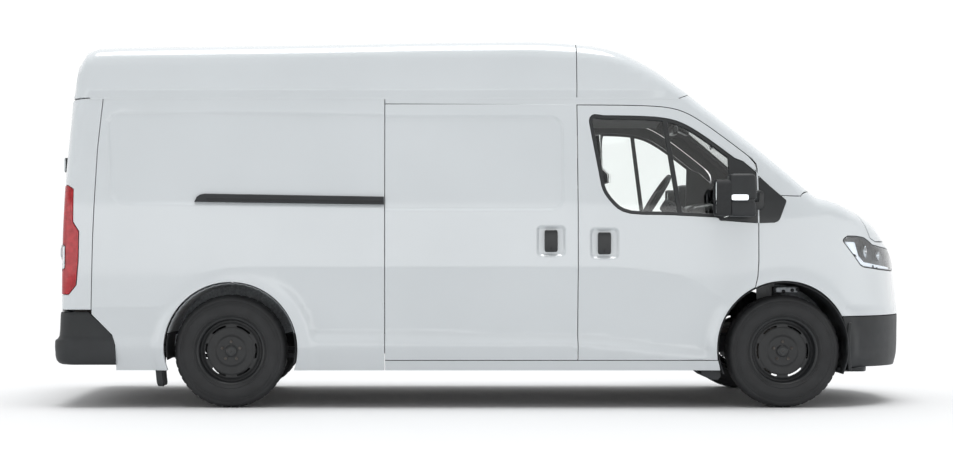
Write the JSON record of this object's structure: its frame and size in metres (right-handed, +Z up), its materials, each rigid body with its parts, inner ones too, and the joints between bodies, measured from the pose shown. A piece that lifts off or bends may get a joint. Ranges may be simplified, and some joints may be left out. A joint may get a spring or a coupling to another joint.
{
  "type": "panel van",
  "caption": "High-roof panel van with a sliding side door, twin rear doors, lifting bonnet, steered front wheels and a hollow load space behind the cab.",
  "frame": {"origin": "on the ground under the middle of the van's length and width", "axes": "+X forward towards the nose, +Y to the van's left, +Z up"},
  "size_m": [5.327, 2.47, 2.281],
  "materials": {
    "white_paint": "gloss white paint",
    "black_plastic": "grained black plastic",
    "tinted_glass": "clear glass with a slight tint",
    "lamp_clear": "smoked clear lens",
    "lamp_red": "red moulded lens",
    "cab_trim": "matt grey moulded trim",
    "seat_fabric": "woven black fabric",
    "dark_steel": "dark painted steel",
    "engine_alloy": "cast alloy",
    "tyre_rubber": "black rubber",
    "black_steel": "satin black painted steel"
  },
  "bodies": {
    "body": {"roof_panel": "white_paint", "roof_cap": "white_paint", "side_left": "white_paint", "side_right": "white_paint", "cab_frame": "white_paint", "sliding_door": "white_paint", "slide_rail": "black_plastic", "load_floor": "cab_trim", "bulkhead": "cab_trim", "windscreen": "tinted_glass", "wings": "white_paint", "front_panel": "white_paint", "front_bumper": "black_plastic", "rear_bumper": "black_plastic", "headlamps": "lamp_clear", "tail_lamps": "lamp_red", "corner_posts": "white_paint", "arch_liners": "black_plastic", "cowl": "black_plastic", "dashboard": "cab_trim", "seats": "seat_fabric", "motor": "engine_alloy", "chassis_frame": "dark_steel", "front_axle": "dark_steel", "rear_axle": "dark_steel", "tow_socket": "dark_steel"},
    "door_left": {"front_door_left": "white_paint", "door_glass_left": "tinted_glass", "mirror_left": "black_plastic"},
    "door_right": {"front_door_right": "white_paint", "door_glass_right": "tinted_glass", "mirror_right": "black_plastic"},
    "tail_door_left": {"rear_door_left": "white_paint"},
    "tail_door_right": {"rear_door_right": "white_paint"},
    "bonnet": {"bonnet": "white_paint"},
    "knuckle_left": {"knuckle_left": "dark_steel"},
    "knuckle_right": {"knuckle_right": "dark_steel"},
    "wheel_front_left": {"tyre_front_left": "tyre_rubber", "rim_front_left": "black_steel"},
    "wheel_front_right": {"tyre_front_right": "tyre_rubber", "rim_front_right": "black_steel"},
    "wheel_rear_left": {"tyre_rear_left": "tyre_rubber", "rim_rear_left": "black_steel"},
    "wheel_rear_right": {"tyre_rear_right": "tyre_rubber", "rim_rear_right": "black_steel"},
    "steering_wheel": {"steering_wheel": "black_plastic"}
  },
  "joints": [
    {"name": "front_door_left_hinge", "type": "hinge", "parent": "body", "child": "door_left", "pos_m": [1.64075, 1.017, 1], "axis": [0, 0, -1], "range_deg": [0, 70]},
    {"name": "front_door_right_hinge", "type": "hinge", "parent": "body", "child": "door_right", "pos_m": [1.64075, -1.017, 1], "axis": [0, 0, 1], "range_deg": [0, 70]},
    {"name": "rear_door_left_hinge", "type": "hinge", "parent": "body", "child": "tail_door_left", "pos_m": [-2.606, 0.868, 1.2], "axis": [0, 0, -1], "range_deg": [0, 180]},
    {"name": "rear_door_right_hinge", "type": "hinge", "parent": "body", "child": "tail_door_right", "pos_m": [-2.606, -0.868, 1.2], "axis": [0, 0, 1], "range_deg": [0, 180]},
    {"name": "bonnet_hinge", "type": "hinge", "parent": "body", "child": "bonnet", "pos_m": [2.0315, 0, 1.341], "axis": [0, -1, 0], "range_deg": [0, 50]},
    {"name": "steer_left", "type": "hinge", "parent": "body", "child": "knuckle_left", "pos_m": [1.8075, 0.82, 0.343], "axis": [0, 0, 1], "range_deg": [-35, 35]},
    {"name": "steer_right", "type": "hinge", "parent": "body", "child": "knuckle_right", "pos_m": [1.8075, -0.82, 0.343], "axis": [0, 0, 1], "range_deg": [-35, 35]},
    {"name": "steering_wheel_turn", "type": "hinge", "parent": "body", "child": "steering_wheel", "pos_m": [1.1875, 0.43, 1.3], "axis": [-0.848, 0, 0.5299], "range_deg": [-500, 500]},
    {"name": "wheel_front_left_spin", "type": "hinge", "parent": "knuckle_left", "child": "wheel_front_left", "pos_m": [1.8075, 0.86, 0.343], "axis": [0, 1, 0], "continuous": true},
    {"name": "wheel_front_right_spin", "type": "hinge", "parent": "knuckle_right", "child": "wheel_front_right", "pos_m": [1.8075, -0.86, 0.343], "axis": [0, 1, 0], "continuous": true},
    {"name": "wheel_rear_left_spin", "type": "hinge", "parent": "body", "child": "wheel_rear_left", "pos_m": [-1.5585, 0.86, 0.343], "axis": [0, 1, 0], "continuous": true},
    {"name": "wheel_rear_right_spin", "type": "hinge", "parent": "body", "child": "wheel_rear_right", "pos_m": [-1.5585, -0.86, 0.343], "axis": [0, 1, 0], "continuous": true}
  ],
  "couplings": [
    {"joint": "steer_right", "follows": "steer_left", "ratio": 1},
    {"joint": "steering_wheel_turn", "follows": "steer_left", "ratio": 14}
  ]
}
